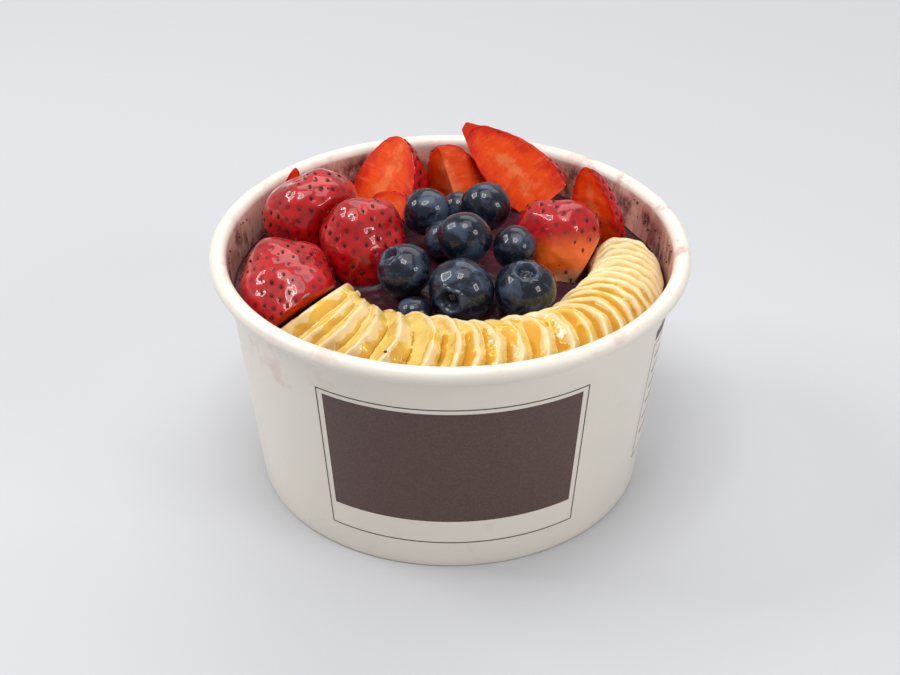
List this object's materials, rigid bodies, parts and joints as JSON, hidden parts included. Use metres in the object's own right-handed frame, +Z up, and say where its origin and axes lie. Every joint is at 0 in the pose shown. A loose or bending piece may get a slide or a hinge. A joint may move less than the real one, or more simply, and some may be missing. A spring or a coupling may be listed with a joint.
{
  "type": "acai bowl",
  "caption": "Paper tub filled with frozen acai, topped with glazed strawberries, blueberries and a fan of overlapping banana slices.",
  "frame": {"origin": "middle of the ring the tub stands on", "axes": "+Z up; -Y is the front, where the printed panel is"},
  "size_m": [0.1268, 0.1268, 0.0785],
  "materials": {
    "paper": "coated off-white paper board",
    "acai": "wet dark purple puree",
    "strawberry": "glazed red fruit",
    "blueberry": "waxy blue-black skin with glaze",
    "banana": "cut banana under clear honey"
  },
  "bodies": {
    "root": {"tub": "paper", "acai": "acai", "banana_01": "banana", "banana_02": "banana", "banana_03": "banana", "banana_04": "banana", "banana_05": "banana", "banana_06": "banana", "banana_07": "banana", "banana_08": "banana", "banana_09": "banana", "banana_10": "banana", "banana_11": "banana", "banana_12": "banana", "banana_13": "banana", "banana_14": "banana", "banana_15": "banana", "banana_16": "banana", "banana_17": "banana", "banana_18": "banana", "banana_19": "banana", "banana_20": "banana", "banana_21": "banana", "banana_22": "banana", "banana_23": "banana", "banana_24": "banana", "banana_25": "banana", "blueberry_back": "blueberry", "blueberry_back_left": "blueberry", "blueberry_back_right": "blueberry", "blueberry_front": "blueberry", "blueberry_front_right": "blueberry", "blueberry_left": "blueberry", "blueberry_low": "blueberry", "blueberry_middle": "blueberry", "blueberry_right": "blueberry", "blueberry_top": "blueberry", "strawberry_back": "strawberry", "strawberry_back_left": "strawberry", "strawberry_behind": "strawberry", "strawberry_front_left": "strawberry", "strawberry_inner_left": "strawberry", "strawberry_inner_right": "strawberry", "strawberry_left": "strawberry", "strawberry_peak": "strawberry", "strawberry_right": "strawberry", "strawberry_tall": "strawberry"}
  },
  "joints": []
}
